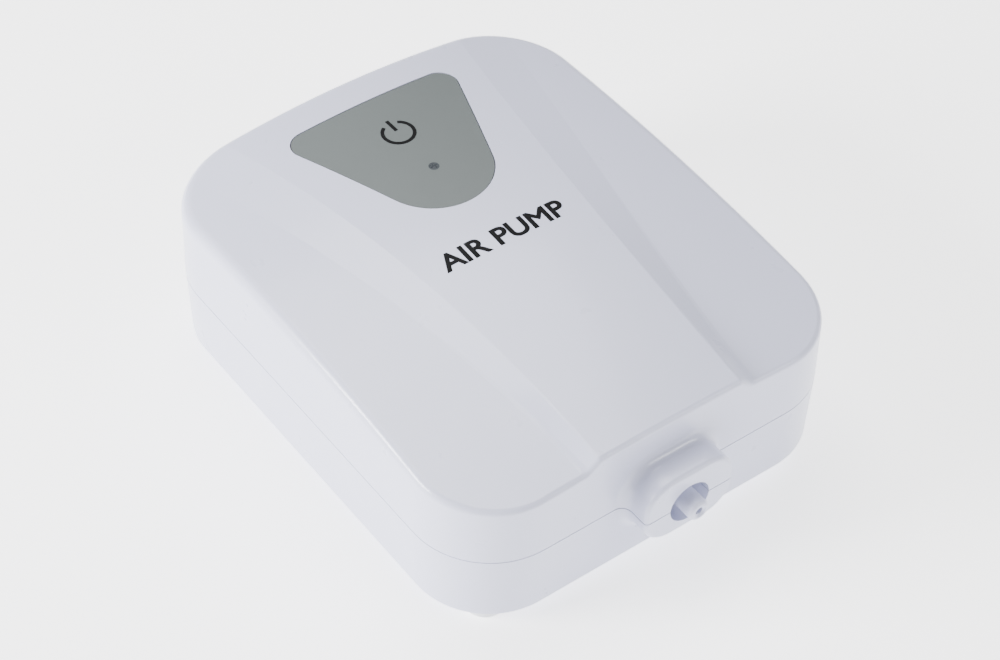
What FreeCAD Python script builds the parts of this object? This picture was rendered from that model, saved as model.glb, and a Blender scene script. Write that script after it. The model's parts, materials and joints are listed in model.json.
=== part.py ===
"""Battery aquarium air pump: a two-shell wedge case with a micro diaphragm pump inside.

Case frame while modelling: X to the right, Y to the back, Z up, case centre at x = y = 0,
feet standing on z = 0. On export everything moves along Y, so that the origin is at the
bottom centre of the whole pump, air nozzle included. All lengths are millimetres.
"""
import FreeCAD, Part
import math
import os

# ---- Driving dimensions: case --------------------------------------------------------
CASE_WIDTH = 104.0
CASE_LENGTH = 123.0
CORNER_RADIUS = 19.3
FOOT_HEIGHT = 3.0
PARTING_Z = 21.2
PARTING_GAP = 0.24
SEAL_INSET = 0.5
BASE_DRAFT = 0.6
COVER_DRAFT = 0.4
WALL = 2.2
FLOOR = 2.0
LIP_HEIGHT = 2.2
LIP_THICKNESS = 1.0
LIP_CLEARANCE = 0.15

# Top face: a crest line along Y, a crown across X, and a raised centre panel that
# narrows to the front between two sloping strips.
CREST_Z = 47.2
CREST_Y = 26.6
CREST_CURVE = 0.00093
CROWN_FRONT = 0.0007
CROWN_REAR = 0.0023
STEP_FRONT = 2.6
STEP_REAR = 0.5
PANEL_HALF_FRONT = 18.8
PANEL_HALF_GROWTH = 16.0
STRIP_EDGE_FRONT = 21.6
STRIP_EDGE_GROWTH = 25.5
STRIP_FOOT_RADIUS = 3.2
STRIP_CREST_RADIUS = 1.4
TOP_REACH_X = 62.0
TOP_REACH_Y = 70.0
RIM_RADIUS_FRONT = 1.2
RIM_RADIUS_SIDE = 1.8
RIM_RADIUS_REAR = 3.0

# ---- Outlet boss, nozzle and pump axis -----------------------------------------------
AXIS_Z = PARTING_Z
BOSS_HALF_WIDTH = 11.7
BOSS_LOW_Z = 13.6
BOSS_HIGH_Z = 30.5
BOSS_CORNER = 7.0
BOSS_FACE_Y = -68.8
BOSS_HOLE_RADIUS = 5.2
BOSS_ROOT_FILLET = 2.6
BOSS_RIM_FILLET = 1.0
NOZZLE_RADIUS = 2.6
NOZZLE_BORE = 0.9
NOZZLE_TIP_ROUNDING = 0.9
NOZZLE_DIMPLE_RADIUS = 1.5
NOZZLE_DIMPLE_DEPTH = 0.45
NOZZLE_TIP_Y = -72.3
NOZZLE_FLANGE_RADIUS = 7.5
NOZZLE_FLANGE_Y = (-64.2, -62.4)
NOZZLE_BARB_Y = -54.5
SLEEVE_RADIUS = 4.0
SLEEVE_Y = (-61.8, -48.6)

# ---- Power pad -----------------------------------------------------------------------
PAD_FRONT_CENTRE_Y = 24.4
PAD_FRONT_RADIUS = 13.8
PAD_REAR_X = 18.0
PAD_REAR_Y = 46.8
PAD_REAR_RADIUS = 4.2
PAD_THICKNESS = 1.1
PAD_SUNK = 0.12
PAD_GAP = 0.22
PAD_RECESS = 2.0
PAD_FLOOR_Z = 44.0
SWITCH_Y = 37.7
LED_Y = 23.9
LED_WINDOW_RADIUS = 1.25
KEY_LEGS = [(-14.5, 46.6), (14.5, 46.6), (0.0, 13.4)]
KEY_LEG_HOLE_RADIUS = 1.4
KEY_LEG_Z = (43.3, 43.8)
STEM_RADIUS = 1.6
STEM_Z = (43.0, 44.2)
SWITCH_HALF_WIDTH = 3.0
SWITCH_TOP_Z = 43.6
LAMP_RADIUS = 1.5
LAMP_DOME_Z = 43.4

# ---- Pump, measured as u from the motor's front face towards the nozzle --------------
PUMP_START_Y = -28.9
MOTOR_RADIUS = 12.2
MOTOR_CAN_LENGTH = 15.6
END_CAP_LENGTH = 1.8
PUMP_RADIUS = 13.0
HOUSING_U = (0.0, 11.4)
MEMBRANE_U = (11.4, 12.6)
SEAT_U = (12.6, 15.6)
HEAD_U = (15.6, 18.0)
HEAD_DOME_U = 19.0
SHAFT_RADIUS = 1.0
RUNNING_CLEARANCE = 0.03
HUB_U = (2.3, 7.0)
HUB_RADIUS = 4.0
PIVOT_U = 9.0
PIN_TILT = 6.0
PIN_RADIUS = 0.75
ARM_CIRCLE = 7.0
ARM_ANGLES = (30, 150, 270)
HEAD_SCREW_CIRCLE = 11.2
HEAD_SCREW_ANGLES = (90, 210, 330)
HEAD_SCREW_PASSAGE = 0.9
HEAD_SPIGOT_RADIUS = 2.3
HEAD_SPIGOT_Y = -53.5
CHAMBER_RADIUS = 2.9
VALVE_RECESS = 0.8
VALVE_STEM_RADIUS = 0.6
INLET_HOLE_RADIUS = 0.4
OUTLET_HOLE_RADIUS = 0.35
OUTLET_HOLE_CIRCLE = 4.65
UMBRELLA_RADIUS = 5.3
UMBRELLA_STEM_RADIUS = 0.8
PLENUM_RADIUS = 5.7
CAN_WALL = 0.8
CAN_SCREW_X = 8.0
CUSHION_RADIUS = 14.5
REAR_CUSHION_Y = (-20.5, -15.5)
FRONT_CUSHION_U = (12.9, 15.3)
STRAP_THICKNESS = 0.8
STRAP_FOOT_Z = 18.0
STRAP_SCREW_X = 19.8

# ---- Batteries -----------------------------------------------------------------------
CELL_RADIUS = 16.7
CELL_X = 17.2
CELL_Z = 22.0
CELL_NUB = 1.5
TRAY_HALF_WIDTH = 35.5
TRAY_Y = (-10.4, 58.6)
TRAY_ROOF_Z = 40.4
TRAY_WALL = 1.2
CONTACT_THICKNESS = 0.4
SPRING_LENGTH = 4.3
TRAY_LUGS = [(side * 40.0, y) for side in (-1, 1) for y in (4.0, 36.0)]
LUG_Z = (14.0, 16.0)
DOOR_HALF_WIDTH = 30.7
DOOR_FRONT_Y = -7.7
DOOR_Z = (3.0, 4.8)
DOOR_TONGUE_Z = (4.1, 4.8)
DOOR_TONGUE_X = 33.2
DOOR_LIP_Z = 7.7
DOOR_GAP = 0.3

# ---- Circuit board -------------------------------------------------------------------
BOARD_HALF_WIDTH = 20.0
BOARD_Y = (15.0, 46.0)
BOARD_Z = (40.9, 42.1)
BOARD_SCREW_Y = (18.2, 43.8)
LEAD_RADIUS = 0.6
MOTOR_LEAD_X = 14.2
BATTERY_LEAD_X = 18.5

# ---- Fasteners and feet --------------------------------------------------------------
FOOT_PLACES = [(x, y) for x in (-40.5, 40.5) for y in (-52.0, 52.0)]
FOOT_RADIUS = 5.0
CASE_POST_RADIUS = 4.4
COVER_POST_RADIUS = 3.2
CASE_SCREW_SHOULDER_Z = 5.4
CASE_SCREW_TOP_Z = 33.0
CASE_SCREW_RADIUS = 1.3
INTAKE_X = (-31.0, -19.0)
INTAKE_Y = (-45.0, -31.0)

HALF_WIDTH = CASE_WIDTH / 2
HALF_LENGTH = CASE_LENGTH / 2
FLOOR_Z = FOOT_HEIGHT + FLOOR
ORIGIN_SHIFT_Y = (-NOZZLE_TIP_Y - HALF_LENGTH) / 2
ALONG_Y = FreeCAD.Vector(0, 1, 0)
ALONG_X = FreeCAD.Vector(1, 0, 0)


# ---- Small shape helpers -------------------------------------------------------------
def vec(x, y, z):
    return FreeCAD.Vector(x, y, z)


def block(x, y, z):
    """Box between the (low, high) pairs x, y and z."""
    return Part.makeBox(x[1] - x[0], y[1] - y[0], z[1] - z[0], vec(x[0], y[0], z[0]))


def post(radius, x, y, z):
    """Upright cylinder over the (low, high) pair z."""
    return Part.makeCylinder(radius, z[1] - z[0], vec(x, y, z[0]))


def rod(radius, y, x=0.0, z=AXIS_Z):
    """Cylinder along Y over the (front, rear) pair y."""
    return Part.makeCylinder(radius, y[1] - y[0], vec(x, y[0], z), ALONG_Y)


def pipe(outer, inner, y):
    """Tube on the pump axis."""
    return rod(outer, y).cut(rod(inner, y))


def pump_span(near, far):
    """(front, rear) pair of Y for the stretch of the pump axis from u = near to u = far."""
    return (PUMP_START_Y - far, PUMP_START_Y - near)


def on_circle(radius, degrees):
    """(x, z) of a point on a circle round the pump axis."""
    angle = math.radians(degrees)
    return radius * math.cos(angle), AXIS_Z + radius * math.sin(angle)


def joined(shapes):
    """One solid from touching shapes."""
    return shapes[0].fuse(shapes[1:]).removeSplitter()


def turned(profile):
    """Solid of revolution round the pump axis from (radius, y) points."""
    points = [vec(radius, y, AXIS_Z) for radius, y in profile]
    outline = Part.makePolygon(points + [points[0]])
    return Part.Face(outline).revolve(vec(0, 0, AXIS_Z), ALONG_Y, 360)


def rounded_rectangle(half_x, half_y, radius, z):
    """Closed wire of a rounded rectangle at height z."""
    edges = []
    corners = [(1, 1, 0), (-1, 1, 90), (-1, -1, 180), (1, -1, 270)]
    arcs = []
    for side_x, side_y, start in corners:
        centre = vec(side_x * (half_x - radius), side_y * (half_y - radius), z)
        spots = [centre + radius * vec(math.cos(math.radians(a)), math.sin(math.radians(a)), 0)
                 for a in (start, start + 45, start + 90)]
        arcs.append(spots)
    for index, spots in enumerate(arcs):
        edges.append(Part.Arc(*spots).toShape())
        following = arcs[(index + 1) % len(arcs)]
        edges.append(Part.LineSegment(spots[2], following[0]).toShape())
    return Part.Wire(edges)


def case_walls(z, inset):
    """Drafted rounded block over the pair z, pulled in by the pair inset at its ends."""
    wires = [rounded_rectangle(HALF_WIDTH - d, HALF_LENGTH - d, CORNER_RADIUS - d, height)
             for height, d in zip(z, inset)]
    return Part.makeLoft(wires, True, True)


def shared_edges(shape, first_test, second_test):
    """Edges between a face that passes the first test and one that passes the second."""
    chosen = []
    for edge in shape.Edges:
        beside = [face for face in shape.Faces if any(edge.isSame(e) for e in face.Edges)]
        if any(first_test(face) for face in beside) and any(second_test(face) for face in beside):
            chosen.append(edge)
    return chosen


# ---- Case: outer forms ---------------------------------------------------------------
def top_height(x, y, strip_share):
    """Height of the top face; strip_share is 0 on the panel and 1 beyond the strip."""
    t = (y + TOP_REACH_Y) / (2 * TOP_REACH_Y)
    crest = CREST_Z - CREST_CURVE * (y - CREST_Y) ** 2
    crown = CROWN_FRONT + (CROWN_REAR - CROWN_FRONT) * t
    step = STEP_REAR + (STEP_FRONT - STEP_REAR) * (1 - t) ** 2
    return crest - crown * x * x - step * strip_share


def top_section(y, drop):
    """Closed outline of everything below the top face at station y, lowered by drop."""
    t = (y + TOP_REACH_Y) / (2 * TOP_REACH_Y)
    inner = PANEL_HALF_FRONT + PANEL_HALF_GROWTH * t ** 2.2
    outer = STRIP_EDGE_FRONT + STRIP_EDGE_GROWTH * t ** 1.5
    reach = TOP_REACH_X
    middle = (reach + outer) / 2

    def on_top(x, strip_share):
        return vec(x, y, top_height(x, y, strip_share) - drop)

    def line(start, end):
        return Part.LineSegment(start, end).toShape()

    def arc(start, between, end):
        return Part.Arc(start, between, end).toShape()

    return Part.Wire([
        line(vec(-reach, y, 0), vec(reach, y, 0)),
        line(vec(reach, y, 0), on_top(reach, 1)),
        arc(on_top(reach, 1), on_top(middle, 1), on_top(outer, 1)),
        line(on_top(outer, 1), on_top(inner, 0)),
        arc(on_top(inner, 0), on_top(0, 0), on_top(-inner, 0)),
        line(on_top(-inner, 0), on_top(-outer, 1)),
        arc(on_top(-outer, 1), on_top(-middle, 1), on_top(-reach, 1)),
        line(on_top(-reach, 1), vec(-reach, y, 0))])


def under_top(drop=0.0):
    """Everything below the top face, lowered by drop."""
    stations = 7
    wires = [top_section(TOP_REACH_Y * (2 * i / (stations - 1) - 1), drop) for i in range(stations)]
    return Part.makeLoft(wires, True, False)


def under_soft_top():
    """Everything below the outer top face, with the strips' edges rounded."""
    body = under_top()
    creases = [e for e in body.Edges if e.BoundBox.YLength > TOP_REACH_Y
               and e.BoundBox.ZMax > PARTING_Z and abs(e.CenterOfMass.x) < HALF_WIDTH]
    creases.sort(key=lambda e: abs(e.CenterOfMass.x))
    body = body.makeFillet(STRIP_FOOT_RADIUS, creases[2:])
    creases = [e for e in body.Edges if e.BoundBox.YLength > TOP_REACH_Y
               and e.BoundBox.ZMax > PARTING_Z and abs(e.CenterOfMass.x) < HALF_WIDTH]
    creases.sort(key=lambda e: abs(e.CenterOfMass.x))
    return body.makeFillet(STRIP_CREST_RADIUS, creases[:2])


def rim_radius(point):
    """Edge rounding of the cover: crisp at the front, softer to the back."""
    corner_y = HALF_LENGTH - CORNER_RADIUS
    if point.y < -corner_y:
        share = (point.y + HALF_LENGTH) / CORNER_RADIUS
        return RIM_RADIUS_FRONT + (RIM_RADIUS_SIDE - RIM_RADIUS_FRONT) * share
    share = min(1.0, (point.y + corner_y) / (2 * corner_y))
    return RIM_RADIUS_SIDE + (RIM_RADIUS_REAR - RIM_RADIUS_SIDE) * share


def travel_round(start, end):
    """Signed turn about the case's centre, anticlockwise, from start to end."""
    turn = math.atan2(end.y, end.x) - math.atan2(start.y, start.x)
    return (turn + math.pi) % (2 * math.pi) - math.pi


def round_rim(shape):
    """Round the cover's upper rim with a radius that varies along it."""
    def upward(face):
        return face.normalAt(*face.Surface.parameter(face.CenterOfMass)).z > 0.5

    def upright(face):
        return abs(face.normalAt(*face.Surface.parameter(face.CenterOfMass)).z) < 0.2

    rim = shared_edges(shape, upward, upright)
    document = FreeCAD.newDocument("rim")
    source = document.addObject("Part::Feature", "source")
    source.Shape = shape
    fillet = document.addObject("Part::Fillet", "fillet")
    fillet.Base = source
    rows = []
    for number, edge in enumerate(source.Shape.Edges, start=1):
        if any(edge.isSame(other) or edge.isPartner(other) for other in rim):
            first = edge.valueAt(edge.FirstParameter)
            last = edge.valueAt(edge.LastParameter)
            if travel_round(first, last) < 0:
                first, last = last, first
            rows.append((number, rim_radius(first), rim_radius(last)))
    fillet.Edges = rows
    document.recompute()
    result = fillet.Shape.copy()
    result.fix(1e-5, 1e-5, 1e-3)
    FreeCAD.closeDocument(document.Name)
    return result


def boss_blank(z):
    """Outlet boss, full height, cut to the pair z, reaching into the front wall."""
    mid_z = (BOSS_LOW_Z + BOSS_HIGH_Z) / 2
    half_z = (BOSS_HIGH_Z - BOSS_LOW_Z) / 2
    flat = rounded_rectangle(BOSS_HALF_WIDTH, half_z, BOSS_CORNER, 0.0)
    flat.rotate(vec(0, 0, 0), ALONG_X, 90)
    flat.translate(vec(0, BOSS_FACE_Y, mid_z))
    depth = -HALF_LENGTH + WALL - BOSS_FACE_Y
    boss = Part.Face(flat).extrude(vec(0, depth, 0))
    front_edges = [e for e in boss.Edges if all(abs(v.Y - BOSS_FACE_Y) < 1e-6 for v in e.Vertexes)]
    boss = boss.makeFillet(BOSS_RIM_FILLET, front_edges)
    return boss.common(block((-20, 20), (BOSS_FACE_Y - 1, -HALF_LENGTH + WALL), z))


def with_boss(outer, z):
    """Add the boss half over the pair z to a case half, with a soft root."""
    shape = outer.fuse(boss_blank(z)).removeSplitter()
    root = []
    for edge in shape.Edges:
        box = edge.BoundBox
        near_wall = box.YMin > -HALF_LENGTH - 0.3 and box.YMax < -HALF_LENGTH + 0.8
        on_boss = abs(box.XMin) < BOSS_HALF_WIDTH + 0.2 and abs(box.XMax) < BOSS_HALF_WIDTH + 0.2
        in_height = box.ZMin > BOSS_LOW_Z - 0.2 and box.ZMax < BOSS_HIGH_Z + 0.2
        if near_wall and on_boss and in_height and box.ZMax - box.ZMin + box.XMax - box.XMin > 0.1:
            on_parting = box.ZMax - box.ZMin < 1e-4 and abs(box.ZMin - PARTING_Z) < 0.3
            if not on_parting:
                root.append(edge)
    return shape.makeFillet(BOSS_ROOT_FILLET, root)


def outlet_cavity():
    """Hole, nozzle flange slot and sleeve bore through the boss."""
    hole = rod(BOSS_HOLE_RADIUS, (BOSS_FACE_Y - 1, NOZZLE_FLANGE_Y[0]))
    slot = rod(NOZZLE_FLANGE_RADIUS + 0.1, (NOZZLE_FLANGE_Y[0], NOZZLE_FLANGE_Y[1]))
    bore = rod(SLEEVE_RADIUS + 0.2, (NOZZLE_FLANGE_Y[1], -HALF_LENGTH + WALL + 5))
    return joined([hole, slot, bore])


# ---- Case parts ----------------------------------------------------------------------
def pad_outline(grow):
    """Solid prism of the pad's outline, widened by grow."""
    z = (40.0, 50.0)
    front = post(PAD_FRONT_RADIUS + grow, 0, PAD_FRONT_CENTRE_Y, z)
    rear = [post(PAD_REAR_RADIUS + grow, side * PAD_REAR_X, PAD_REAR_Y, z) for side in (-1, 1)]
    dx = PAD_REAR_X
    dy = PAD_REAR_Y - PAD_FRONT_CENTRE_Y
    reach = math.hypot(dx, dy)
    lean = math.atan2(dy, dx) - math.acos((PAD_FRONT_RADIUS - PAD_REAR_RADIUS) / reach)
    away_x = math.cos(lean)
    away_y = math.sin(lean)
    corners = []
    for side, order in ((1, 1), (-1, -1)):
        low = vec(side * (PAD_FRONT_RADIUS + grow) * away_x,
                  PAD_FRONT_CENTRE_Y + (PAD_FRONT_RADIUS + grow) * away_y, z[0])
        high = vec(side * (PAD_REAR_X + (PAD_REAR_RADIUS + grow) * away_x),
                   PAD_REAR_Y + (PAD_REAR_RADIUS + grow) * away_y, z[0])
        corners += [low, high][::order]
    top_y = PAD_REAR_Y + PAD_REAR_RADIUS + grow
    right_low, right_high, left_high, left_low = corners
    middle = Part.makePolygon([right_low, right_high, vec(PAD_REAR_X, PAD_REAR_Y, z[0]),
                               vec(PAD_REAR_X, top_y, z[0]), vec(-PAD_REAR_X, top_y, z[0]),
                               vec(-PAD_REAR_X, PAD_REAR_Y, z[0]), left_high, left_low,
                               vec(0, PAD_FRONT_CENTRE_Y, z[0]), right_low])
    web = Part.Face(middle).extrude(vec(0, 0, z[1] - z[0]))
    return joined([front, web] + rear)


def top_cover():
    outer = case_walls((PARTING_Z, CREST_Z + 4), (0.0, COVER_DRAFT)).common(under_soft_top())
    outer = with_boss(round_rim(outer), (PARTING_Z, BOSS_HIGH_Z + 1))
    inner = case_walls((PARTING_Z - 1, CREST_Z + 4), (WALL, WALL + COVER_DRAFT))
    cover = outer.cut(inner.common(under_top(WALL)))
    skin = under_top(WALL - 0.2)
    key_seat = pad_outline(2.0).common(block((-40, 40), (0, 60), (PAD_FLOOR_Z, 60)))
    additions = [key_seat.common(skin)]
    for x, y in FOOT_PLACES:
        additions.append(post(COVER_POST_RADIUS, x, y, (PARTING_Z, 50)).common(skin))
    rib_y = pump_span(*FRONT_CUSHION_U)
    rib = block((-9, 9), rib_y, (AXIS_Z, 50)).common(skin)
    additions.append(rib.cut(rod(CUSHION_RADIUS, (rib_y[0] - 1, rib_y[1] + 1))))
    cover = joined([cover] + additions)
    recess = pad_outline(PAD_GAP).cut(under_top(PAD_RECESS))
    cuts = [recess, outlet_cavity()]
    cuts.append(post(3.0, 0, SWITCH_Y, (40, 48)))
    cuts.append(post(2.0, 0, LED_Y, (40, 48)))
    cuts += [post(KEY_LEG_HOLE_RADIUS, x, y, (40, 48)) for x, y in KEY_LEGS]
    cuts += [post(CASE_SCREW_RADIUS, x, y, (PARTING_Z - 1, CASE_SCREW_TOP_Z)) for x, y in FOOT_PLACES]
    gap = case_walls((PARTING_Z - 1, PARTING_Z + PARTING_GAP / 2), (-9.0, -9.0))
    posts = [post(COVER_POST_RADIUS, x, y, (PARTING_Z - 2, PARTING_Z + 2)) for x, y in FOOT_PLACES]
    cuts.append(gap.cut(posts[0].fuse(posts[1:])))
    return cover.cut(cuts).removeSplitter()


def base_shell():
    outer = case_walls((FOOT_HEIGHT, PARTING_Z), (BASE_DRAFT, 0.0))
    bottom = [e for e in outer.Edges if all(abs(v.Z - FOOT_HEIGHT) < 1e-6 for v in e.Vertexes)]
    outer = outer.makeFillet(1.0, bottom)
    outer = with_boss(outer, (BOSS_LOW_Z - 1, PARTING_Z))
    inner = case_walls((FLOOR_Z, PARTING_Z + 1), (WALL + BASE_DRAFT, WALL))
    base = outer.cut(inner)
    lip_z = (PARTING_Z - 5, PARTING_Z + LIP_HEIGHT)
    lip_outer = WALL + LIP_CLEARANCE
    lip = case_walls(lip_z, (lip_outer, lip_outer))
    lip = lip.cut(case_walls(lip_z, (lip_outer + LIP_THICKNESS, lip_outer + LIP_THICKNESS)))
    seat_z = (lip_z[0], PARTING_Z - PARTING_GAP / 2)
    backing = case_walls(seat_z, (WALL - 0.2, WALL - 0.2))
    backing = backing.cut(case_walls(seat_z, (lip_outer + 0.2, lip_outer + 0.2)))
    tray_room = block((-TRAY_HALF_WIDTH - 0.3, TRAY_HALF_WIDTH + 0.3), (0, TRAY_Y[1] + 0.1), (FLOOR_Z, 30))
    additions = [lip.cut(tray_room), backing.cut(tray_room)]
    additions += [post(CASE_POST_RADIUS, x, y, (FOOT_HEIGHT + 1, PARTING_Z)) for x, y in FOOT_PLACES]
    additions += [post(3.4, x, y, (FOOT_HEIGHT + 1, LUG_Z[0])) for x, y in TRAY_LUGS]
    rear_mid = sum(REAR_CUSHION_Y) / 2
    for side in (-1, 1):
        additions.append(post(3.2, side * STRAP_SCREW_X, rear_mid, (FOOT_HEIGHT + 1, STRAP_FOOT_Z)))
    for y in (REAR_CUSHION_Y, pump_span(*FRONT_CUSHION_U)):
        saddle = block((-16.0, 16.0), y, (FOOT_HEIGHT + 1, STRAP_FOOT_Z))
        additions.append(saddle.cut(rod(CUSHION_RADIUS, (y[0] - 1, y[1] + 1))))
    fence = block((INTAKE_X[0] - 1.2, INTAKE_X[1] + 1.2), (INTAKE_Y[0] - 1.2, INTAKE_Y[1] + 1.2),
                  (FOOT_HEIGHT + 1, FLOOR_Z + 2.4))
    additions.append(fence.cut(block(INTAKE_X, INTAKE_Y, (FLOOR_Z, FLOOR_Z + 4))))
    base = joined([base] + additions)
    return base.cut(base_cuts()).removeSplitter()


def base_cuts():
    """Everything that is cut out of the base shell."""
    cuts = [outlet_cavity()]
    opening_x = DOOR_HALF_WIDTH + DOOR_GAP
    beyond = HALF_LENGTH + 2
    cuts.append(block((-opening_x, opening_x), (DOOR_FRONT_Y - DOOR_GAP, beyond), (0, FLOOR_Z + 0.1)))
    cuts.append(block((-opening_x, opening_x), (HALF_LENGTH - 5, beyond), (0, DOOR_LIP_Z + DOOR_GAP)))
    groove_x = DOOR_TONGUE_X + DOOR_GAP
    cuts.append(block((-groove_x, groove_x), (DOOR_FRONT_Y - DOOR_GAP, beyond),
                      (DOOR_TONGUE_Z[0] - 0.25, FLOOR_Z + 0.1)))
    for x, y in FOOT_PLACES:
        cuts.append(post(2.8, x, y, (0, CASE_SCREW_SHOULDER_Z)))
        cuts.append(post(CASE_SCREW_RADIUS + 0.2, x, y, (0, PARTING_Z + 1)))
    cuts += [post(1.2, x, y, (7.0, LUG_Z[0] + 1)) for x, y in TRAY_LUGS]
    rear_mid = sum(REAR_CUSHION_Y) / 2
    for side in (-1, 1):
        cuts.append(post(1.2, side * STRAP_SCREW_X, rear_mid, (10.0, STRAP_FOOT_Z + 1)))
    slots = 5
    pitch = (INTAKE_X[1] - INTAKE_X[0]) / slots
    for number in range(slots):
        x = INTAKE_X[0] + (number + 0.5) * pitch
        cuts.append(block((x - 0.6, x + 0.6), (INTAKE_Y[0] + 1, INTAKE_Y[1] - 1), (0, FLOOR_Z + 1)))
    seam = case_walls((PARTING_Z - PARTING_GAP / 2, PARTING_Z + 1), (-9.0, -9.0))
    keep = case_walls((PARTING_Z - 2, PARTING_Z + 2), (WALL + LIP_CLEARANCE, WALL + LIP_CLEARANCE))
    front_strip = block((-BOSS_HALF_WIDTH - 4, BOSS_HALF_WIDTH + 4), (-90, -HALF_LENGTH + 0.4),
                        (PARTING_Z - PARTING_GAP / 2, PARTING_Z + 1))
    cuts.append(seam.cut(keep).fuse(front_strip))
    return cuts


def case_seal():
    z = (PARTING_Z - PARTING_GAP / 2, PARTING_Z + PARTING_GAP / 2)
    ring = case_walls(z, (SEAL_INSET, SEAL_INSET)).cut(case_walls(z, (WALL, WALL)))
    return ring.cut(outlet_cavity())


def rubber_feet():
    feet = []
    for x, y in FOOT_PLACES:
        foot = Part.makeCylinder(FOOT_RADIUS, FOOT_HEIGHT, vec(x, y, 0))
        lower_edge = [e for e in foot.Edges if abs(e.BoundBox.ZMax) < 1e-6]
        foot = foot.makeFillet(1.4, lower_edge)
        feet.append(foot.fuse(post(2.7, x, y, (FOOT_HEIGHT - 0.5, FOOT_HEIGHT + 0.6))).removeSplitter())
    return Part.makeCompound(feet)


def pan_screw(x, y, seat_z, tip_z, head_radius, shank_radius):
    """Pan-head screw along Z with its head seated at seat_z and a cross recess."""
    direction = 1 if seat_z > tip_z else -1
    head_height = 0.6 * head_radius
    head_z = sorted((seat_z, seat_z + direction * head_height))
    head = post(head_radius, x, y, head_z)
    outer_z = seat_z + direction * head_height
    rim = [e for e in head.Edges if max(abs(v.Z - outer_z) for v in e.Vertexes) < 1e-6]
    head = head.makeFillet(0.4 * head_height, rim)
    shank = post(shank_radius, x, y, sorted((seat_z, tip_z)))
    recess_z = sorted((outer_z + direction, outer_z - direction * 0.5 * head_height))
    arm = 0.55 * head_radius
    blade = 0.12 * head_radius
    cross = block((x - arm, x + arm), (y - blade, y + blade), recess_z)
    cross = cross.fuse(block((x - blade, x + blade), (y - arm, y + arm), recess_z))
    return head.fuse(shank).removeSplitter().cut(cross)


def screw_set(places, seat_z, tip_z, head_radius, shank_radius):
    return Part.makeCompound([pan_screw(x, y, seat_z, tip_z, head_radius, shank_radius) for x, y in places])


def case_screws():
    return screw_set(FOOT_PLACES, CASE_SCREW_SHOULDER_Z, CASE_SCREW_TOP_Z - 1, 2.5, CASE_SCREW_RADIUS)


def battery_door():
    panel = block((-DOOR_HALF_WIDTH, DOOR_HALF_WIDTH), (DOOR_FRONT_Y, HALF_LENGTH + 1), DOOR_Z)
    tongues = block((-DOOR_TONGUE_X, DOOR_TONGUE_X), (DOOR_FRONT_Y, HALF_LENGTH + 1), DOOR_TONGUE_Z)
    lip = block((-DOOR_HALF_WIDTH, DOOR_HALF_WIDTH), (HALF_LENGTH - 2.4, HALF_LENGTH + 1),
                (DOOR_Z[0], DOOR_LIP_Z))
    outer = case_walls((FOOT_HEIGHT, PARTING_Z), (BASE_DRAFT, 0.0))
    door = joined([panel, tongues, lip]).common(outer)
    grooves = []
    for number in range(6):
        y = HALF_LENGTH - 8 - 2.4 * number
        grooves.append(block((-12, 12), (y - 0.6, y + 0.6), (0, DOOR_Z[0] + 0.6)))
    return door.cut(grooves)


# ---- Power key -----------------------------------------------------------------------
def power_pad():
    pad = pad_outline(0.0).common(under_top(PAD_SUNK)).cut(under_top(PAD_SUNK + PAD_THICKNESS))
    body = [pad]
    ceiling = under_top(PAD_SUNK + 0.3)
    body.append(post(2.4, 0, SWITCH_Y, (STEM_Z[1], 50)).common(ceiling))
    for x, y in KEY_LEGS:
        body.append(post(1.0, x, y, (KEY_LEG_Z[0], 50)).common(ceiling))
        body.append(post(1.7, x, y, KEY_LEG_Z))
    return joined(body).cut(post(LED_WINDOW_RADIUS, 0, LED_Y, (40, 50)))


def led_window():
    window = post(LED_WINDOW_RADIUS, 0, LED_Y, (40, 50)).common(under_top(PAD_SUNK + 0.03))
    return window.cut(under_top(PAD_SUNK + PAD_THICKNESS))


def switch_stem():
    return post(STEM_RADIUS, 0, SWITCH_Y, STEM_Z)


def tact_switch():
    half = SWITCH_HALF_WIDTH
    body = block((-half, half), (SWITCH_Y - half, SWITCH_Y + half), (BOARD_Z[1], SWITCH_TOP_Z))
    return body.cut(post(STEM_RADIUS + 0.3, 0, SWITCH_Y, (BOARD_Z[1] + 0.3, SWITCH_TOP_Z + 1)))


def status_led():
    flange = post(LAMP_RADIUS + 0.3, 0, LED_Y, (BOARD_Z[1], BOARD_Z[1] + 0.6))
    stem = post(LAMP_RADIUS, 0, LED_Y, (BOARD_Z[1], LAMP_DOME_Z))
    dome = Part.makeSphere(LAMP_RADIUS, vec(0, LED_Y, LAMP_DOME_Z))
    return joined([flange, stem, dome]).common(block((-5, 5), (10, 40), (BOARD_Z[1], 50)))


# ---- Circuit board -------------------------------------------------------------------
def circuit_board():
    board = block((-BOARD_HALF_WIDTH, BOARD_HALF_WIDTH), BOARD_Y, BOARD_Z)
    upright = [e for e in board.Edges if e.BoundBox.ZMax - e.BoundBox.ZMin > 1]
    board = board.makeFillet(1.5, upright)
    return board.cut([post(1.1, 0, y, (40, 44)) for y in BOARD_SCREW_Y])


def controller_chip():
    chip = block((-13.5, -8.5), (28, 32), (BOARD_Z[1] + 0.1, 43.5))
    pads = []
    for row in range(4):
        y = 28.4 + row * 1.05
        pads.append(block((-14.5, -7.5), (y - 0.2, y + 0.2), (BOARD_Z[1], BOARD_Z[1] + 0.3)))
    return joined([chip] + pads)


def board_components():
    top = BOARD_Z[1]
    parts = [block((7.5, 12.5), (27, 32), (top, 43.6))]
    parts += [block((x, x + 1.2), (34.5, 36.5), (top, top + 0.6)) for x in (-13, -10.5, -8)]
    parts += [block((x, x + 1.6), (35, 38), (top, top + 1.2)) for x in (8, 11)]
    return Part.makeCompound(parts)


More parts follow.
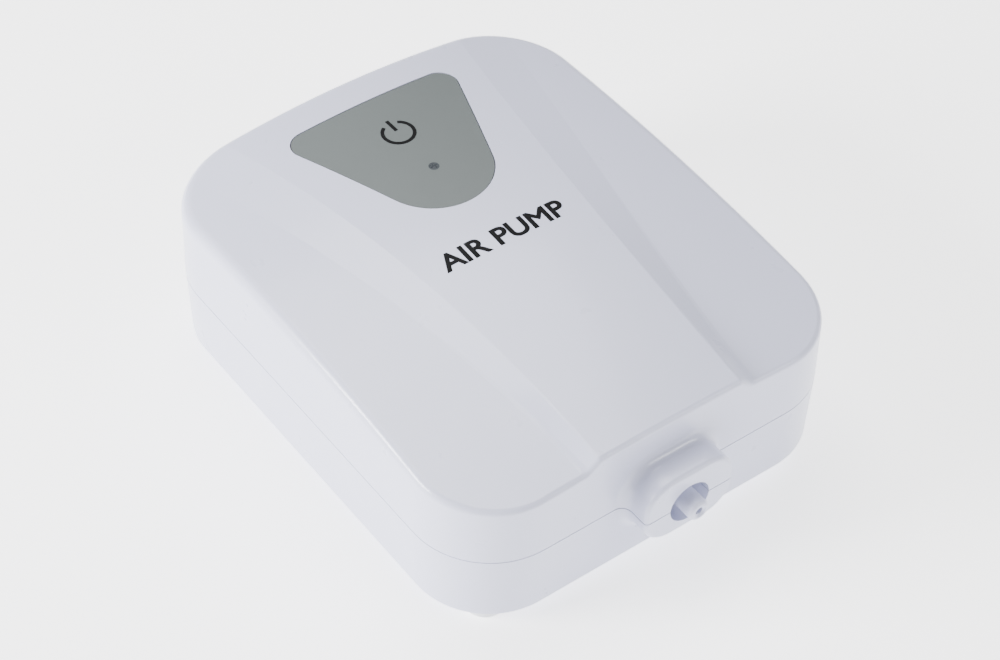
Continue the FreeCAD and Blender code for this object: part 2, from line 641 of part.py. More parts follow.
def board_connectors():
    sockets = []
    for side in (-1, 1):
        x = sorted((side * 12.0, side * 16.8))
        socket = block(x, (BOARD_Y[0] + 0.5, BOARD_Y[0] + 5.5), (BOARD_Z[1], 43.7))
        sockets.append(socket.cut(rod(LEAD_RADIUS, (BOARD_Y[0], BOARD_Y[0] + 3.5),
                                      side * MOTOR_LEAD_X, BOARD_Z[1] + 0.8)))
    return Part.makeCompound(sockets)


def board_screws():
    return screw_set([(0, y) for y in BOARD_SCREW_Y], BOARD_Z[1], 34.0, 1.9, 1.0)


# ---- Battery compartment -------------------------------------------------------------
def battery_tray():
    width = (-TRAY_HALF_WIDTH, TRAY_HALF_WIDTH)
    shell = block(width, TRAY_Y, (FLOOR_Z, TRAY_ROOF_Z))
    upright = [e for e in shell.Edges if e.BoundBox.ZMax - e.BoundBox.ZMin > 10]
    shell = shell.makeFillet(5.0, upright)
    room_y = (TRAY_Y[0] + TRAY_WALL, TRAY_Y[1] - TRAY_WALL)
    room = block((width[0] + TRAY_WALL, width[1] - TRAY_WALL), room_y, (0, TRAY_ROOF_Z - TRAY_WALL))
    upright = [e for e in room.Edges if e.BoundBox.ZMax - e.BoundBox.ZMin > 10]
    room = room.makeFillet(3.8, upright)
    under_lip = block((-DOOR_TONGUE_X - 1, DOOR_TONGUE_X + 1), (room_y[1] - 4, TRAY_Y[1] + 1), (0, 8.4))
    tray = shell.cut([room, under_lip])
    additions = [block((-2, 2), (room_y[0] - 0.5, room_y[1] + 0.5), (30.0, TRAY_ROOF_Z - 0.5))]
    for x, y in TRAY_LUGS:
        reach = sorted((math.copysign(TRAY_HALF_WIDTH - 0.6, x), math.copysign(44.0, x)))
        additions.append(block(reach, (y - 3.4, y + 3.4), LUG_Z))
    additions += [post(3.0, 0, y, (TRAY_ROOF_Z - 0.5, BOARD_Z[0])) for y in BOARD_SCREW_Y]
    for x in (-17.0, 17.0):
        additions += [post(1.5, x, y, (TRAY_ROOF_Z - 0.5, BOARD_Z[0])) for y in (19.0, 42.0)]
    tray = joined([tray] + additions)
    cuts = [post(1.0, 0, y, (33.0, 42.0)) for y in BOARD_SCREW_Y]
    cuts += [post(1.4, x, y, (LUG_Z[0] - 1, LUG_Z[1] + 1)) for x, y in TRAY_LUGS]
    tab_y = (room_y[1] - CONTACT_THICKNESS - 0.1, room_y[1] + 0.1)
    cuts += [block((x - 1.3, x + 1.3), tab_y, (38, 42)) for x in (-BATTERY_LEAD_X, BATTERY_LEAD_X)]
    return tray.cut(cuts).removeSplitter()


def tray_screws():
    return screw_set(TRAY_LUGS, LUG_Z[1], 8.0, 2.3, 1.2)


def battery_cell(side, negative_y, positive_y):
    """Round cell at side * CELL_X with its flat end and its nub end at the given Y."""
    direction = 1 if positive_y > negative_y else -1
    shoulder_y = positive_y - direction * CELL_NUB
    body = rod(CELL_RADIUS, sorted((negative_y, shoulder_y)), side * CELL_X, CELL_Z)
    body = body.makeFillet(0.8, [e for e in body.Edges if e.BoundBox.YMax - e.BoundBox.YMin < 1e-6])
    nub = rod(4.75, sorted((shoulder_y, positive_y)), side * CELL_X, CELL_Z)
    return body.fuse(nub)


def contact_limits():
    """Y of the inner faces of the front and the rear contact plates."""
    front = TRAY_Y[0] + TRAY_WALL + CONTACT_THICKNESS
    rear = TRAY_Y[1] - TRAY_WALL - CONTACT_THICKNESS
    return front, rear


def battery_cell_left():
    front, rear = contact_limits()
    return battery_cell(-1, front + SPRING_LENGTH, rear)


def battery_cell_right():
    front, rear = contact_limits()
    return battery_cell(1, rear - SPRING_LENGTH, front)


def contact_bridge():
    front, _ = contact_limits()
    return block((-26, 26), (front - CONTACT_THICKNESS, front), (15, 29))


def rear_contact(side):
    """Rear contact plate with its solder tab through the tray roof."""
    _, rear = contact_limits()
    y = (rear, rear + CONTACT_THICKNESS)
    plate = block(sorted((side * 9, side * 26)), y, (15, 33))
    tab_x = (side * BATTERY_LEAD_X - 1.2, side * BATTERY_LEAD_X + 1.2)
    return joined([plate, block(tab_x, y, (32, 42.0))])


def coil_spring(side, plate_y, direction):
    """Conical contact spring from the plate to the cell's flat end."""
    wire = 0.45
    turns = 3
    rise = SPRING_LENGTH - 2 * wire
    helix = Part.makeHelix(rise / turns, rise, 7.0, -14.0)
    start = helix.Edges[0].valueAt(helix.Edges[0].FirstParameter)
    profile = Part.Wire(Part.makeCircle(wire, start, ALONG_Y))
    spring = helix.makePipeShell([profile], True, True)
    spring.rotate(vec(0, 0, 0), ALONG_X, -90 * direction)
    spring.translate(vec(side * CELL_X, plate_y + direction * wire, CELL_Z))
    return spring


def contact_spring_front():
    front, _ = contact_limits()
    return coil_spring(-1, front, 1)


def contact_spring_rear():
    _, rear = contact_limits()
    return coil_spring(1, rear, -1)


# ---- Leads ---------------------------------------------------------------------------
def lead(points, bend):
    """Round lead along straight runs joined by tangent arcs of radius bend."""
    edges = []
    start = points[0]
    for before, corner, after in zip(points, points[1:], points[2:]):
        into = (corner - before).normalize()
        out = (after - corner).normalize()
        half_turn = into.getAngle(out) / 2
        setback = bend * math.tan(half_turn)
        arc_start = corner - into * setback
        arc_end = corner + out * setback
        middle = corner + (out - into).normalize() * bend * (1 / math.cos(half_turn) - 1)
        edges.append(Part.LineSegment(start, arc_start).toShape())
        edges.append(Part.Arc(arc_start, middle, arc_end).toShape())
        start = arc_end
    edges.append(Part.LineSegment(start, points[-1]).toShape())
    heading = (points[1] - points[0]).normalize()
    profile = Part.Wire(Part.makeCircle(LEAD_RADIUS, points[0], heading))
    return Part.Wire(edges).makePipeShell([profile], True, False)


def motor_lead(side):
    """From the board's socket over the front of the tray, down to a motor terminal."""
    x = side * MOTOR_LEAD_X
    height = BOARD_Z[1] + 0.8
    drop_y = PUMP_START_Y + MOTOR_CAN_LENGTH + 0.6
    return lead([vec(x, BOARD_Y[0] + 3.5, height), vec(x, drop_y, height),
                 vec(x, drop_y, AXIS_Z + 0.25)], 5.0)


def battery_lead(side):
    """From a rear contact's tab forward to the board."""
    x = side * BATTERY_LEAD_X
    _, rear = contact_limits()
    low = TRAY_ROOF_Z + 0.7
    high = BOARD_Z[1] + 0.65
    return lead([vec(x, rear, low), vec(x, 52.5, low), vec(x, 48.5, high), vec(x, 44.5, high)], 3.0)


# ---- Motor ---------------------------------------------------------------------------
CAN_Y = (PUMP_START_Y, PUMP_START_Y + MOTOR_CAN_LENGTH)
CAP_Y = (CAN_Y[1], CAN_Y[1] + END_CAP_LENGTH)
MAGNET_Y = (CAN_Y[0] + 1.4, CAN_Y[1] - 2.6)
CORE_Y = (CAN_Y[0] + 3.2, CAN_Y[1] - 4.8)
BUSH_RADIUS = 2.5
CORE_RADIUS = 8.5


def motor_can():
    can = pipe(MOTOR_RADIUS, MOTOR_RADIUS - CAN_WALL, CAN_Y)
    front = rod(MOTOR_RADIUS - CAN_WALL / 2, (CAN_Y[0], CAN_Y[0] + 1.0))
    can = joined([can, front.cut(rod(BUSH_RADIUS, (CAN_Y[0] - 1, CAN_Y[1])))])
    cuts = [rod(0.8, (CAN_Y[0] - 1, CAN_Y[0] + 2), side * CAN_SCREW_X) for side in (-1, 1)]
    cuts.append(block((-16, 16), (CAN_Y[1] - 0.05, CAN_Y[1] + 1), (AXIS_Z - 2, AXIS_Z + 2)))
    return can.cut(cuts)


def motor_end_cap():
    cap = rod(MOTOR_RADIUS - 0.1, CAP_Y)
    spigot = pipe(MOTOR_RADIUS - CAN_WALL, MOTOR_RADIUS - 2.2, (CAP_Y[0] - 1.5, CAP_Y[0]))
    cap = joined([cap, spigot])
    slots = block((-16, 16), (CAP_Y[0] - 2, CAP_Y[0] + 1.1), (AXIS_Z - 1.5, AXIS_Z + 1.5))
    hole = rod(2.0, (CAP_Y[0] - 2, CAP_Y[1] - 0.5))
    return cap.cut([slots, hole])


def motor_magnets():
    ring = pipe(MOTOR_RADIUS - CAN_WALL, CORE_RADIUS + 0.6, MAGNET_Y)
    gap = block((-3.5, 3.5), (MAGNET_Y[0] - 1, MAGNET_Y[1] + 1), (AXIS_Z - 20, AXIS_Z + 20))
    return Part.makeCompound(ring.cut(gap).Solids)


def motor_front_bush():
    bore = SHAFT_RADIUS + RUNNING_CLEARANCE
    return pipe(BUSH_RADIUS, bore, (CAN_Y[0] - 0.8, CAN_Y[0] + 2.0))


def motor_rear_bush():
    bore = SHAFT_RADIUS + RUNNING_CLEARANCE
    return pipe(2.0, bore, (CAP_Y[0], CAP_Y[1] - 0.5))


def motor_brushes():
    """Two sprung brush leaves beside the commutator and the terminals they join."""
    brushes = []
    for side in (-1, 1):
        terminal = block(sorted((side * 3.4, side * 15.2)), (CAP_Y[0] + 0.2, CAP_Y[0] + 1.0),
                         (AXIS_Z - 1.25, AXIS_Z + 0.25))
        leaf = block(sorted((side * 3.4, side * 3.8)), (CAP_Y[0] - 2.2, CAP_Y[0] + 1.0),
                     (AXIS_Z - 1.25, AXIS_Z + 1.25))
        pad = block(sorted((side * 2.9, side * 3.8)), (CAP_Y[0] - 2.2, CAP_Y[0] - 1.2),
                    (AXIS_Z - 1.0, AXIS_Z + 1.0))
        brushes.append(joined([terminal, leaf, pad]))
    return Part.makeCompound(brushes)


def motor_shaft():
    return rod(SHAFT_RADIUS, (PUMP_START_Y - 4.3, CAP_Y[1] - 0.8))


def armature_core():
    """Three T-shaped poles on a round centre."""
    shoes = pipe(CORE_RADIUS, CORE_RADIUS - 1.4, CORE_Y)
    slots = []
    necks = [rod(3.2, CORE_Y)]
    for number in range(3):
        spin = 120 * number
        slot = block((-0.8, 0.8), CORE_Y, (AXIS_Z, AXIS_Z + 12))
        slot.rotate(vec(0, 0, AXIS_Z), ALONG_Y, spin)
        slots.append(slot)
        neck = block((-1.3, 1.3), CORE_Y, (AXIS_Z, AXIS_Z + CORE_RADIUS - 1.0))
        neck.rotate(vec(0, 0, AXIS_Z), ALONG_Y, spin + 60)
        necks.append(neck)
    core = joined([shoes.cut(slots)] + necks)
    return core.cut(rod(SHAFT_RADIUS, (CORE_Y[0] - 1, CORE_Y[1] + 1)))


def armature_windings():
    """One oval coil round the neck of each pole."""
    coils = []
    for number in range(3):
        outer = block((-2.8, 2.8), (CORE_Y[0] - 1.2, CORE_Y[1] + 1.2), (AXIS_Z + 3.9, AXIS_Z + 6.3))
        upright = [e for e in outer.Edges if e.BoundBox.ZMax - e.BoundBox.ZMin > 2]
        outer = outer.makeFillet(1.1, upright)
        coil = outer.cut(block((-1.35, 1.35), CORE_Y, (AXIS_Z + 3, AXIS_Z + 8)))
        coil.rotate(vec(0, 0, AXIS_Z), ALONG_Y, 120 * number + 60)
        coils.append(coil)
    return Part.makeCompound(coils)


def commutator():
    ring = pipe(2.5, SHAFT_RADIUS, (CORE_Y[1] + 1.6, CAP_Y[0] - 0.6))
    cuts = []
    for number in range(3):
        slit = block((-0.15, 0.15), (CORE_Y[1] + 1, CAP_Y[0]), (AXIS_Z + 2.0, AXIS_Z + 3))
        slit.rotate(vec(0, 0, AXIS_Z), ALONG_Y, 120 * number)
        cuts.append(slit)
    return ring.cut(cuts)


# ---- Wobble drive --------------------------------------------------------------------
PIVOT = vec(0, PUMP_START_Y - PIVOT_U, AXIS_Z)


def tilted(shape):
    """Lean a shape built along the pump axis over to the crank pin's axis."""
    shape.rotate(PIVOT, ALONG_X, PIN_TILT)
    return shape


def arm_rise(degrees):
    """How far an arm's hole stands towards the nozzle at rest, because of the tilt."""
    return ARM_CIRCLE * math.sin(math.radians(PIN_TILT)) * math.sin(math.radians(degrees))


def crank_pin():
    return tilted(rod(PIN_RADIUS, pump_span(4.95, 10.5)))


def eccentric_hub():
    hub = rod(HUB_RADIUS, pump_span(*HUB_U))
    shaft_hole = rod(SHAFT_RADIUS, pump_span(HUB_U[0] - 1, 4.3))
    flat = block((-6, 6), pump_span(HUB_U[0] - 1, 4.4), (AXIS_Z + 3.3, AXIS_Z + 6))
    return hub.cut([shaft_hole, crank_pin(), flat])


def wobble_plate():
    centre = rod(2.6, pump_span(PIVOT_U - 1.4, PIVOT_U + 1.1))
    pieces = [centre]
    for degrees in ARM_ANGLES:
        arm = block((0, ARM_CIRCLE), pump_span(PIVOT_U - 1.0, PIVOT_U + 0.2), (AXIS_Z - 1.3, AXIS_Z + 1.3))
        arm.rotate(vec(0, 0, AXIS_Z), ALONG_Y, -degrees)
        x, z = on_circle(ARM_CIRCLE, degrees)
        pieces += [arm, rod(2.2, pump_span(PIVOT_U - 1.0, PIVOT_U + 0.2), x, z)]
    plate = joined(pieces)
    holes = [rod(PIN_RADIUS + RUNNING_CLEARANCE, pump_span(5, 13))]
    for degrees in ARM_ANGLES:
        x, z = on_circle(ARM_CIRCLE, degrees)
        holes.append(rod(0.95, pump_span(5, 13), x, z))
    return tilted(plate.cut(holes))


# ---- Pump head -----------------------------------------------------------------------
def head_screw_holes(near, far, radius):
    holes = []
    for degrees in HEAD_SCREW_ANGLES:
        x, z = on_circle(HEAD_SCREW_CIRCLE, degrees)
        holes.append(rod(radius, pump_span(near, far), x, z))
    return holes


def pump_housing():
    cup = rod(PUMP_RADIUS, pump_span(*HOUSING_U)).cut(rod(11.6, pump_span(1.8, HOUSING_U[1] + 1)))
    bosses = [boss.common(rod(PUMP_RADIUS, pump_span(*HOUSING_U)))
              for boss in head_screw_holes(1.0, HOUSING_U[1], 2.0)]
    cup = joined([cup] + bosses)
    cuts = head_screw_holes(4.5, HOUSING_U[1] + 1, 0.85)
    cuts.append(rod(3.0, pump_span(-1, 3)))
    cuts += [rod(0.9, pump_span(-1, 3), side * CAN_SCREW_X) for side in (-1, 1)]
    for degrees in (0, 120, 240):
        window = block((7, 16), pump_span(3.5, 8.0), (AXIS_Z - 2.5, AXIS_Z + 2.5))
        window.rotate(vec(0, 0, AXIS_Z), ALONG_Y, degrees)
        cuts.append(window)
    return cup.cut(cuts)


def motor_screws():
    screws = []
    for side in (-1, 1):
        head = rod(1.5, pump_span(1.8, 2.8), side * CAN_SCREW_X)
        shank = rod(0.8, pump_span(-1.2, 1.8), side * CAN_SCREW_X)
        screws.append(head.fuse(shank).removeSplitter())
    return Part.makeCompound(screws)


def diaphragm():
    flange_y = pump_span(*MEMBRANE_U)
    flange = rod(PUMP_RADIUS, flange_y)
    cups = []
    mouths = []
    for degrees in ARM_ANGLES:
        x, z = on_circle(ARM_CIRCLE, degrees)
        crown = PIVOT_U + 0.7 + arm_rise(degrees)
        depth = MEMBRANE_U[0] - crown
        crown_y = PUMP_START_Y - crown
        cups.append(Part.makeCone(2.6, 3.5, depth, vec(x, crown_y, z), -ALONG_Y))
        cups.append(rod(0.7, (crown_y - 0.1, crown_y + 2.6), x, z))
        cups.append(rod(1.25, (crown_y + 2.0, crown_y + 2.8), x, z))
        hollow = Part.makeCone(2.0, CHAMBER_RADIUS, depth - 0.6, vec(x, crown_y - 0.6, z), -ALONG_Y)
        mouths.append(hollow)
        mouths.append(rod(CHAMBER_RADIUS, flange_y, x, z))
    body = joined([flange] + cups)
    return body.cut(mouths + head_screw_holes(MEMBRANE_U[0] - 1, MEMBRANE_U[1] + 1, HEAD_SCREW_PASSAGE))


def seat_plate():
    plate = rod(PUMP_RADIUS, pump_span(*SEAT_U))
    through = (SEAT_U[0] - 1, SEAT_U[1] + 1)
    recess = pump_span(SEAT_U[0] - 1, SEAT_U[0] + VALVE_RECESS)
    cuts = head_screw_holes(*through, HEAD_SCREW_PASSAGE)
    cuts.append(rod(UMBRELLA_STEM_RADIUS, pump_span(*through)))
    cuts.append(rod(2 * UMBRELLA_STEM_RADIUS, recess))
    for degrees in ARM_ANGLES:
        x, z = on_circle(ARM_CIRCLE, degrees)
        cuts.append(rod(CHAMBER_RADIUS, recess, x, z))
        cuts.append(rod(VALVE_STEM_RADIUS, pump_span(*through), x, z))
        for offset in (-9, 9):
            hole_x, hole_z = on_circle(ARM_CIRCLE + 0.2, degrees + offset)
            cuts.append(rod(INLET_HOLE_RADIUS, pump_span(SEAT_U[0], SEAT_U[0] + 2), hole_x, hole_z))
        out_x, out_z = on_circle(OUTLET_HOLE_CIRCLE, degrees)
        cuts.append(rod(OUTLET_HOLE_RADIUS, pump_span(*through), out_x, out_z))
        channel = block((ARM_CIRCLE - 1.6, 14), pump_span(SEAT_U[0] + 1.6, SEAT_U[0] + 2.4),
                        (AXIS_Z - 1.6, AXIS_Z + 1.6))
        channel.rotate(vec(0, 0, AXIS_Z), ALONG_Y, -degrees)
        cuts.append(channel)
    return plate.cut(cuts)


def inlet_valves():
    valves = []
    for degrees in ARM_ANGLES:
        x, z = on_circle(ARM_CIRCLE, degrees)
        flap = rod(CHAMBER_RADIUS - 1.0, pump_span(SEAT_U[0] + 0.4, SEAT_U[0] + VALVE_RECESS), x, z)
        stem = rod(VALVE_STEM_RADIUS, pump_span(SEAT_U[0] + 0.4, SEAT_U[1] - 0.2), x, z)
        valves.append(flap.fuse(stem).removeSplitter())
    return Part.makeCompound(valves)


def outlet_valve():
    umbrella = rod(UMBRELLA_RADIUS, pump_span(SEAT_U[1], SEAT_U[1] + 0.5))
    stem = rod(UMBRELLA_STEM_RADIUS, pump_span(SEAT_U[0] + 0.2, SEAT_U[1] + 0.5))
    knob = rod(1.5 * UMBRELLA_STEM_RADIUS, pump_span(SEAT_U[0] + 0.2, SEAT_U[0] + VALVE_RECESS))
    return joined([umbrella, stem, knob])


def pump_head_cap():
    near = PUMP_START_Y - HEAD_U[0]
    step = PUMP_START_Y - HEAD_U[1]
    dome = PUMP_START_Y - HEAD_DOME_U
    profile = [(0, near), (PUMP_RADIUS, near), (PUMP_RADIUS, step), (7.5, step), (6.0, dome),
               (HEAD_SPIGOT_RADIUS, dome), (HEAD_SPIGOT_RADIUS, HEAD_SPIGOT_Y), (0, HEAD_SPIGOT_Y)]
    cap = turned(profile)
    plenum = rod(PLENUM_RADIUS, pump_span(HEAD_U[0] - 1, HEAD_U[0] + 1.7))
    bore = rod(NOZZLE_BORE, (HEAD_SPIGOT_Y - 1, near))
    screw_holes = head_screw_holes(HEAD_U[0] - 1, HEAD_U[1] + 1, HEAD_SCREW_PASSAGE)
    return cap.cut([plenum, bore] + screw_holes)


def pump_head_screws():
    screws = []
    for degrees in HEAD_SCREW_ANGLES:
        x, z = on_circle(HEAD_SCREW_CIRCLE, degrees)
        head = rod(1.6, pump_span(HEAD_U[1], HEAD_U[1] + 1.1), x, z)
        screws.append(head.fuse(rod(0.85, pump_span(5.0, HEAD_U[1]), x, z)).removeSplitter())
    return Part.makeCompound(screws)


def outlet_nozzle():
    """Spigot with a flange, two barbs on its inner end and a dimpled, rounded tip."""
    front, rear = NOZZLE_FLANGE_Y
    root = 2.9
    neck = 2.4
    barb = 2.8
    profile = [(0, NOZZLE_TIP_Y), (NOZZLE_RADIUS, NOZZLE_TIP_Y),
               (NOZZLE_RADIUS, front - 1.2), (root, front - 0.9), (root, front),
               (NOZZLE_FLANGE_RADIUS, front), (NOZZLE_FLANGE_RADIUS, rear), (neck, rear)]
    barb_y = rear + 2.0
    while barb_y < NOZZLE_BARB_Y - 1.5:
        profile += [(neck, barb_y), (barb, barb_y), (neck, barb_y + 1.6)]
        barb_y += 2.2
    profile += [(neck, NOZZLE_BARB_Y), (0, NOZZLE_BARB_Y)]
    body = turned(profile)
    tip = [e for e in body.Edges if abs(e.BoundBox.YMax - NOZZLE_TIP_Y) < 1e-6 and e.Length > 1]
    body = body.makeFillet(NOZZLE_TIP_ROUNDING, tip)
    dimple = Part.makeCone(NOZZLE_DIMPLE_RADIUS, NOZZLE_BORE, NOZZLE_DIMPLE_DEPTH,
                           vec(0, NOZZLE_TIP_Y, AXIS_Z), ALONG_Y)
    return body.cut([dimple, rod(NOZZLE_BORE, (NOZZLE_TIP_Y - 1, NOZZLE_BARB_Y + 1))])


def outlet_sleeve():
    return rod(SLEEVE_RADIUS, SLEEVE_Y).cut([
        rod(HEAD_SPIGOT_RADIUS, (SLEEVE_Y[0] - 1, SLEEVE_Y[1] + 1)),
        outlet_nozzle(), pump_head_cap()])


# ---- Mounting of the pump ------------------------------------------------------------
def pump_cushion_front():
    return pipe(CUSHION_RADIUS, PUMP_RADIUS, pump_span(*FRONT_CUSHION_U))


def pump_cushion_rear():
    return pipe(CUSHION_RADIUS, MOTOR_RADIUS, REAR_CUSHION_Y)


def pump_strap():
    hoop = pipe(CUSHION_RADIUS + STRAP_THICKNESS, CUSHION_RADIUS, REAR_CUSHION_Y)
    hoop = hoop.common(block((-20, 20), (-40, 0), (STRAP_FOOT_Z, 50)))
    feet = []
    for side in (-1, 1):
        foot = block(sorted((side * 14.0, side * 23.4)), REAR_CUSHION_Y,
                     (STRAP_FOOT_Z, STRAP_FOOT_Z + STRAP_THICKNESS))
        feet.append(foot)
    strap = joined([hoop] + feet)
    rear_mid = sum(REAR_CUSHION_Y) / 2
    cuts = [rod(CUSHION_RADIUS, (-40, 0))]
    cuts += [post(1.3, side * STRAP_SCREW_X, rear_mid, (10, 30)) for side in (-1, 1)]
    return strap.cut(cuts)


def strap_screws():
    rear_mid = sum(REAR_CUSHION_Y) / 2
    places = [(side * STRAP_SCREW_X, rear_mid) for side in (-1, 1)]
    return screw_set(places, STRAP_FOOT_Z + STRAP_THICKNESS, 11.0, 2.2, 1.2)


def intake_filter():
    margin = 0.1
    pad = block((INTAKE_X[0] + margin, INTAKE_X[1] - margin), (INTAKE_Y[0] + margin, INTAKE_Y[1] - margin),
                (FLOOR_Z, FLOOR_Z + 2.2))
    upright = [e for e in pad.Edges if e.BoundBox.ZMax - e.BoundBox.ZMin > 1]
    return pad.makeFillet(0.8, upright)


PIECES = {
    "top_cover": top_cover, "base_shell": base_shell, "case_seal": case_seal,
    "case_screws": case_screws, "rubber_feet": rubber_feet, "battery_door": battery_door,
    "power_pad": power_pad, "led_window": led_window, "switch_stem": switch_stem,
    "tact_switch": tact_switch, "circuit_board": circuit_board, "status_led": status_led,
    "controller_chip": controller_chip, "board_components": board_components,
    "board_connectors": board_connectors, "board_screws": board_screws,
    "battery_tray": battery_tray, "tray_screws": tray_screws,
    "battery_cell_left": battery_cell_left, "battery_cell_right": battery_cell_right,
    "contact_bridge": contact_bridge,
    "contact_plate_positive": lambda: rear_contact(-1),
    "contact_plate_negative": lambda: rear_contact(1),
    "contact_spring_front": contact_spring_front, "contact_spring_rear": contact_spring_rear,
    "battery_lead_positive": lambda: battery_lead(-1),
    "battery_lead_negative": lambda: battery_lead(1),
    "motor_lead_positive": lambda: motor_lead(-1),
    "motor_lead_negative": lambda: motor_lead(1),
    "motor_can": motor_can, "motor_end_cap": motor_end_cap, "motor_magnets": motor_magnets,
    "motor_front_bush": motor_front_bush, "motor_rear_bush": motor_rear_bush,
    "motor_brushes": motor_brushes, "motor_shaft": motor_shaft,
    "armature_core": armature_core, "armature_windings": armature_windings,
    "commutator": commutator, "eccentric_hub": eccentric_hub, "crank_pin": crank_pin,
    "wobble_plate": wobble_plate, "pump_housing": pump_housing, "motor_screws": motor_screws,
    "diaphragm": diaphragm, "seat_plate": seat_plate, "inlet_valves": inlet_valves,
    "outlet_valve": outlet_valve, "pump_head_cap": pump_head_cap,
    "pump_head_screws": pump_head_screws, "outlet_nozzle": outlet_nozzle,
    "outlet_sleeve": outlet_sleeve, "pump_cushion_front": pump_cushion_front,
    "pump_cushion_rear": pump_cushion_rear, "pump_strap": pump_strap,
    "strap_screws": strap_screws, "intake_filter": intake_filter,
}


def main():
    os.makedirs("parts", exist_ok=True)
    for name, make in PIECES.items():
        shape = make()
        shape.translate(vec(0, ORIGIN_SHIFT_Y, 0))
        if not shape.isValid() or not shape.Solids:
            print("bad shape:", name, shape.ShapeType)
        shape.exportStep("parts/" + name + ".step")
        print(name, len(shape.Solids), round(shape.Volume, 1))


main()
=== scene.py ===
"""Looks for the battery aquarium air pump: finishes, printed marks, camera, light and floor."""

import json
import math

import bpy
from mathutils import Matrix, Vector


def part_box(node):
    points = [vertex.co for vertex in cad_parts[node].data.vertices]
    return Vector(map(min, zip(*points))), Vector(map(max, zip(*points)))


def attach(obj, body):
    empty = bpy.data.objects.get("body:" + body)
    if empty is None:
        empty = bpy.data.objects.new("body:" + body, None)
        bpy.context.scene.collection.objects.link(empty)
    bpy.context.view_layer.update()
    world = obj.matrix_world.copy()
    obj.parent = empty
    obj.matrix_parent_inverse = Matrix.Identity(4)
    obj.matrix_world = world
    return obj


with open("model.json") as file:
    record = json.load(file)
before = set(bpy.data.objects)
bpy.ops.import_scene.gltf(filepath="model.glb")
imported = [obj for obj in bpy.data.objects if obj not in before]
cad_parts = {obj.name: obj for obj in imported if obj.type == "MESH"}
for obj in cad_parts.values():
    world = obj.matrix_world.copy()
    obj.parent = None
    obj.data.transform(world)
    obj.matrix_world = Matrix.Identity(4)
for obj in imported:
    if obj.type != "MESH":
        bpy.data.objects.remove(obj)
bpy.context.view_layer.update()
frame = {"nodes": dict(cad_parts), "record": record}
MM = 0.001

# ---- Printed marks, in millimetres; SWITCH_Y and WORDS_Y count from the case's centre ---------
CASE_CENTRE_Y = 5.4
SWITCH_Y = 37.7
WORDS_Y = -2.0
WORDS_WIDTH = 33.0
WORDS_HEIGHT = 5.2
PRINT_THICKNESS = 0.05
SYMBOL_RADIUS = 3.65
SYMBOL_HALF_STROKE = 0.42
BAR_LOW = 0.8
BAR_HIGH = 4.8

# ---- Shares of the letter size, steps, and the ring's opening in degrees ----------------------
LETTER_BOLDNESS = 0.028
LETTER_EXTRUDE = 0.005
LETTER_CURVE_STEPS = 4
RING_STEPS = 72
BAR_STEPS = 8
RING_OPEN_HALF_ANGLE = 30

# ---- Heights and lengths in metres, the camera's angles in degrees ----------------------------
ABOVE_THE_PART = 0.2
FLOOR_REACH = 3.0
CAMERA_AZIMUTH = -37.38
CAMERA_ELEVATION = 45.43
CAMERA_ROLL = 1.5
CAMERA_DISTANCE = 0.589
CAMERA_TARGET_Z = 0.0238
LIGHT_AIM = (0, 0, 0.02)

# ---- Strengths and shares ---------------------------------------------------------------------
FLOOR_GLOW = 1.9
NOISE_LOW = 0.3
NOISE_HIGH = 0.7


# ---- Node helpers -----------------------------------------------------------------------------
def new_material(name):
    """A material, its node tree and its Principled shader."""
    material = bpy.data.materials.new(name)
    material.use_nodes = True
    tree = material.node_tree
    return material, tree, tree.nodes["Principled BSDF"]


def place(tree, stretch=(1, 1, 1)):
    """Object coordinates counted in millimetres, stretched per axis."""
    coordinates = tree.nodes.new("ShaderNodeTexCoord")
    mapping = tree.nodes.new("ShaderNodeMapping")
    mapping.inputs["Scale"].default_value = [s / MM for s in stretch]
    tree.links.new(coordinates.outputs["Object"], mapping.inputs["Vector"])
    return mapping.outputs["Vector"]


def noise(tree, vector, per_mm, detail=3.0, roughness=0.55):
    """Noise with per_mm cells to the millimetre, from 0 to 1."""
    node = tree.nodes.new("ShaderNodeTexNoise")
    node.inputs["Scale"].default_value = per_mm
    node.inputs["Detail"].default_value = detail
    node.inputs["Roughness"].default_value = roughness
    tree.links.new(vector, node.inputs["Vector"])
    return node.outputs["Fac"]


def between(tree, factor, low, high):
    """Maps the usual spread of a noise value on to low to high."""
    node = tree.nodes.new("ShaderNodeMapRange")
    node.inputs["From Min"].default_value = NOISE_LOW
    node.inputs["From Max"].default_value = NOISE_HIGH
    node.inputs["To Min"].default_value = low
    node.inputs["To Max"].default_value = high
    tree.links.new(factor, node.inputs["Value"])
    return node.outputs["Result"]


def blend_colours(tree, factor, first, second):
    """Mixes two RGB colours."""
    node = tree.nodes.new("ShaderNodeMix")
    node.data_type = "RGBA"
    tree.links.new(factor, node.inputs["Factor"])
    node.inputs["A"].default_value = (*first, 1.0)
    node.inputs["B"].default_value = (*second, 1.0)
    return node.outputs["Result"]


def add_bump(tree, shader, height, depth_mm):
    """Feeds a height, depth_mm deep, to the shader's normal."""
    node = tree.nodes.new("ShaderNodeBump")
    node.inputs["Distance"].default_value = depth_mm * MM
    tree.links.new(height, node.inputs["Height"])
    tree.links.new(node.outputs["Normal"], shader.inputs["Normal"])


def shade(colour, factor):
    """A colour made lighter or darker by a factor."""
    return tuple(min(1.0, c * factor) for c in colour)


